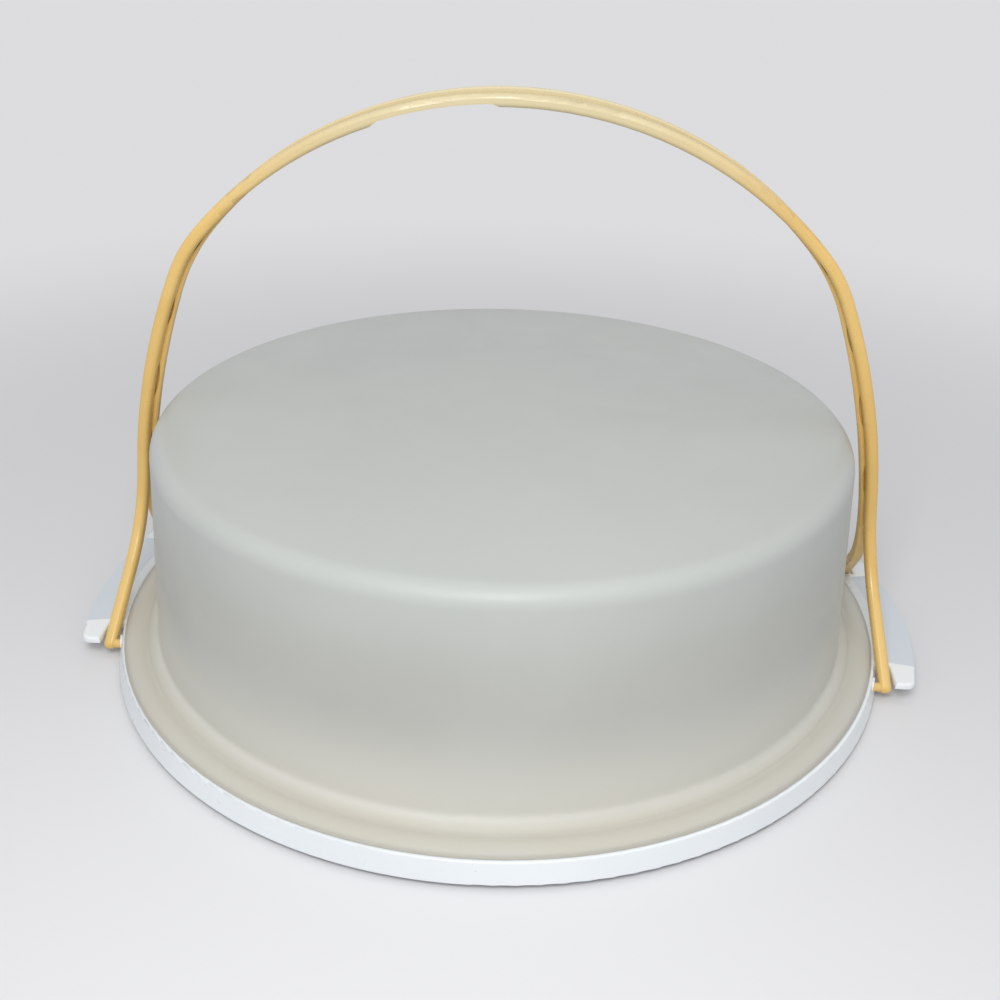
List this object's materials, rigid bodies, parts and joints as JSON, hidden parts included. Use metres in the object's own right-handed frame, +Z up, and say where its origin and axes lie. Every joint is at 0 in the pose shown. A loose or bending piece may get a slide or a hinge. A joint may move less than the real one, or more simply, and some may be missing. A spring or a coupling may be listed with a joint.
{
  "type": "round cake carrier",
  "caption": "Round footed cake tray with end ears, a sheer press-on dome, and a carrying handle of two hinged bails that close over the dome and hold its flange down.",
  "frame": {"origin": "middle of the footprint, on the surface that the carrier stands on", "axes": "+X from the left ear to the right ear, +Y to the back, +Z up; the front bail is at -Y"},
  "size_m": [0.348, 0.3197, 0.2221],
  "materials": {
    "tray": "satin, white with a cool cast",
    "dome": "sheer milky polymer, soft satin",
    "handle": "satin, warm harvest tan"
  },
  "bodies": {
    "tray": {"base_tray": "tray"},
    "dome": {"dome_lid": "dome"},
    "front_bail": {"front_bail": "handle"},
    "rear_bail": {"rear_bail": "handle"}
  },
  "joints": [
    {"name": "front_bail_swing", "type": "hinge", "parent": "tray", "child": "front_bail", "pos_m": [0, -0.045, 0.006], "axis": [1, 0, 0], "range_deg": [0, 101]},
    {"name": "rear_bail_swing", "type": "hinge", "parent": "tray", "child": "rear_bail", "pos_m": [0, 0.045, 0.006], "axis": [-1, 0, 0], "range_deg": [0, 101]},
    {"name": "dome_turn", "type": "hinge", "parent": "tray", "child": "dome", "pos_m": [0, 0, 0.0103], "axis": [0, 0, 1], "continuous": true}
  ]
}
